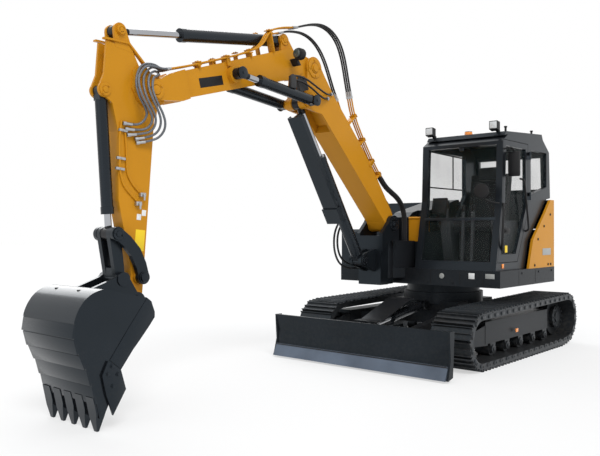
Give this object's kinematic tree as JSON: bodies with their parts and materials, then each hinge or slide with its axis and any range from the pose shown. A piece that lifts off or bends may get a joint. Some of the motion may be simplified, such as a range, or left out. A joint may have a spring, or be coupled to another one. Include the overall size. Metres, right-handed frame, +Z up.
{
  "type": "crawler excavator",
  "caption": "Crawler excavator with a cab, swing post, two-piece boom, arm, toothed bucket and dozer blade on steel tracks.",
  "frame": {"origin": "on the ground under the middle of the whole machine's box", "axes": "+X runs forward to the bucket, +Y to the machine's left, +Z up"},
  "size_m": [6.4787, 2.196, 3.4887],
  "materials": {
    "body_yellow": "semi-gloss paint",
    "chassis_grey": "dark grey satin paint",
    "blade_steel": "worn bare edge",
    "track_steel": "dark worn steel",
    "machinery": "dark casting",
    "cab_grey": "near-black grey paint",
    "roof_grey": "light grey paint",
    "window_glass": "clear tinted",
    "trim_black": "matte black",
    "seat_cloth": "dark cloth",
    "lamp_body": "black housing with clear front",
    "cylinder_black": "black gloss paint",
    "rod_chrome": "polished",
    "hose_rubber": "matte rubber",
    "hose_grey": "grey sleeved hose",
    "pipe_yellow": "painted pipe"
  },
  "bodies": {
    "undercarriage": {"side_frames": "chassis_grey", "frame_legs": "chassis_grey", "carbody": "chassis_grey", "lashing_eyes": "chassis_grey", "track_left": "track_steel", "track_right": "track_steel", "idlers": "track_steel", "sprockets": "track_steel", "rollers": "track_steel"},
    "blade": {"blade": "chassis_grey", "blade_frame": "chassis_grey", "blade_edge": "blade_steel", "blade_ram_cover": "chassis_grey"},
    "blade_cylinder_barrel": {"blade_cylinder_barrel": "cylinder_black"},
    "blade_cylinder_rod": {"blade_cylinder_rod": "rod_chrome"},
    "upper": {"upper_frame": "chassis_grey", "counterweight": "chassis_grey", "engine_block": "machinery", "left_cover": "body_yellow", "right_cover": "cab_grey", "engine_cover": "body_yellow", "tank_box": "body_yellow", "cab_frame": "cab_grey", "cab_roof": "roof_grey", "cab_glass": "window_glass", "operator_seat": "seat_cloth", "control_consoles": "trim_black", "roof_lamps": "lamp_body"},
    "cab_door": {"cab_door": "cab_grey", "door_glass": "window_glass"},
    "rear_hood": {"rear_hood": "chassis_grey"},
    "swing_post": {"swing_post": "chassis_grey", "post_hoses": "hose_rubber"},
    "boom_base": {"boom_base": "body_yellow", "elbow_hoses": "hose_rubber", "boom_base_pipes": "pipe_yellow"},
    "boom_cylinder_barrel": {"boom_cylinder_barrel": "cylinder_black"},
    "boom_cylinder_rod": {"boom_cylinder_rod": "rod_chrome", "cylinder_guard": "chassis_grey"},
    "boom_front": {"boom_front": "body_yellow", "arm_hoses": "hose_grey", "boom_front_pipes": "pipe_yellow"},
    "adjust_cylinders_barrel": {"adjust_cylinders_barrel": "cylinder_black"},
    "adjust_cylinders_rod": {"adjust_cylinders_rod": "rod_chrome"},
    "arm": {"arm": "body_yellow", "arm_pipes": "pipe_yellow"},
    "arm_cylinder_barrel": {"arm_cylinder_barrel": "cylinder_black"},
    "arm_cylinder_rod": {"arm_cylinder_rod": "rod_chrome"},
    "bucket_cylinder_barrel": {"bucket_cylinder_barrel": "cylinder_black"},
    "bucket_cylinder_rod": {"bucket_cylinder_rod": "rod_chrome"},
    "rocker_links": {"rocker_links": "chassis_grey"},
    "bucket_link": {"bucket_link": "chassis_grey"},
    "bucket": {"bucket": "chassis_grey", "bucket_teeth": "track_steel"}
  },
  "joints": [
    {"name": "slew", "type": "hinge", "parent": "undercarriage", "child": "upper", "pos_m": [-1.805, 0, 0.69], "axis": [0, 0, 1], "continuous": true},
    {"name": "boom_swing", "type": "hinge", "parent": "upper", "child": "swing_post", "pos_m": [-0.945, -0.29, 1.0775], "axis": [0, 0, -1], "range_deg": [-60, 60]},
    {"name": "boom_lift", "type": "hinge", "parent": "swing_post", "child": "boom_base", "pos_m": [-0.905, -0.29, 1.48], "axis": [0, -1, 0], "range_deg": [-45, 32], "deforming": ["post_hoses"]},
    {"name": "boom_adjust", "type": "hinge", "parent": "boom_base", "child": "boom_front", "pos_m": [0.445, -0.29, 3.02], "axis": [0, 1, 0], "range_deg": [-35, 25], "deforming": ["elbow_hoses"]},
    {"name": "arm_swing", "type": "hinge", "parent": "boom_front", "child": "arm", "pos_m": [2.395, -0.29, 2.505], "axis": [0, 1, 0], "range_deg": [-55, 50], "deforming": ["arm_hoses"]},
    {"name": "bucket_curl", "type": "hinge", "parent": "arm", "child": "bucket", "pos_m": [2.55, -0.29, 0.862], "axis": [0, 1, 0], "range_deg": [-8, 155]},
    {"name": "blade_lift", "type": "hinge", "parent": "undercarriage", "child": "blade", "pos_m": [-1.185, 0, 0.395], "axis": [0, -1, 0], "range_deg": [-18, 22]},
    {"name": "cab_door_swing", "type": "hinge", "parent": "upper", "child": "cab_door", "pos_m": [-1.972, 1.022, 1.7], "axis": [0, 0, 1], "range_deg": [0, 150]},
    {"name": "rear_hood_lift", "type": "hinge", "parent": "upper", "child": "rear_hood", "pos_m": [-2.617, 0, 1.785], "axis": [0, 1, 0], "range_deg": [0, 60]},
    {"name": "boom_cylinder_tilt", "type": "hinge", "parent": "swing_post", "child": "boom_cylinder_barrel", "pos_m": [-0.465, -0.29, 1.085], "axis": [0, -1, 0], "range_deg": [-44.77, 31.98]},
    {"name": "boom_cylinder_slide", "type": "slide", "parent": "boom_cylinder_barrel", "child": "boom_cylinder_rod", "axis": [0.5369, 0, 0.8436], "range_m": [-0.4377, 0.3124]},
    {"name": "adjust_cylinders_tilt", "type": "hinge", "parent": "boom_base", "child": "adjust_cylinders_barrel", "pos_m": [0.545, -0.29, 2.672], "axis": [0, 1, 0], "range_deg": [-36.54, 26.24]},
    {"name": "adjust_cylinders_slide", "type": "slide", "parent": "adjust_cylinders_barrel", "child": "adjust_cylinders_rod", "axis": [0.995, 0, 0.0995], "range_m": [-0.1528, 0.2123]},
    {"name": "arm_cylinder_tilt", "type": "hinge", "parent": "boom_front", "child": "arm_cylinder_barrel", "pos_m": [0.825, -0.29, 3.232], "axis": [0, 1, 0], "range_deg": [-5.69, 5.22]},
    {"name": "arm_cylinder_slide", "type": "slide", "parent": "arm_cylinder_barrel", "child": "arm_cylinder_rod", "axis": [0.9869, 0, -0.1613], "range_m": [-0.4245, 0.3863]},
    {"name": "bucket_cylinder_tilt", "type": "hinge", "parent": "arm", "child": "bucket_cylinder_barrel", "pos_m": [2.804, -0.29, 2.458], "axis": [0, 1, 0], "range_deg": [-6.14, 0.79]},
    {"name": "bucket_cylinder_slide", "type": "slide", "parent": "bucket_cylinder_barrel", "child": "bucket_cylinder_rod", "axis": [-0.0685, 0, -0.9977], "range_m": [-0.0337, 0.5791]},
    {"name": "blade_cylinder_tilt", "type": "hinge", "parent": "undercarriage", "child": "blade_cylinder_barrel", "pos_m": [-1.285, 0, 0.545], "axis": [0, -1, 0], "range_deg": [-16.43, 19.97]},
    {"name": "blade_cylinder_slide", "type": "slide", "parent": "blade_cylinder_barrel", "child": "blade_cylinder_rod", "axis": [0.9904, 0, -0.1381], "range_m": [-0.0553, 0.0459]},
    {"name": "rocker_turn", "type": "hinge", "parent": "arm", "child": "rocker_links", "pos_m": [2.498, -0.29, 1.045], "axis": [0, 1, 0], "range_deg": [-5.38, 95.14]},
    {"name": "bucket_link_turn", "type": "hinge", "parent": "rocker_links", "child": "bucket_link", "pos_m": [2.73, -0.29, 1.38], "axis": [0, 1, 0], "range_deg": [-41.16, 2.6]}
  ],
  "couplings": [
    {"joint": "boom_cylinder_tilt", "follows": "boom_lift", "ratio": 0.9837},
    {"joint": "boom_cylinder_slide", "follows": "boom_lift", "m_per_rad": 0.5522},
    {"joint": "adjust_cylinders_tilt", "follows": "boom_adjust", "ratio": 1.0297},
    {"joint": "adjust_cylinders_slide", "follows": "boom_adjust", "m_per_rad": -0.34096},
    {"joint": "arm_cylinder_tilt", "follows": "arm_swing", "ratio": 0.0944},
    {"joint": "arm_cylinder_slide", "follows": "arm_swing", "m_per_rad": 0.43803},
    {"joint": "bucket_cylinder_tilt", "follows": "bucket_curl", "ratio": -0.0364},
    {"joint": "bucket_cylinder_slide", "follows": "bucket_curl", "m_per_rad": 0.2126},
    {"joint": "blade_cylinder_tilt", "follows": "blade_lift", "ratio": 0.885},
    {"joint": "blade_cylinder_slide", "follows": "blade_lift", "m_per_rad": -0.1335},
    {"joint": "rocker_turn", "follows": "bucket_curl", "ratio": 0.6106},
    {"joint": "bucket_link_turn", "follows": "bucket_curl", "ratio": -0.2623}
  ]
}
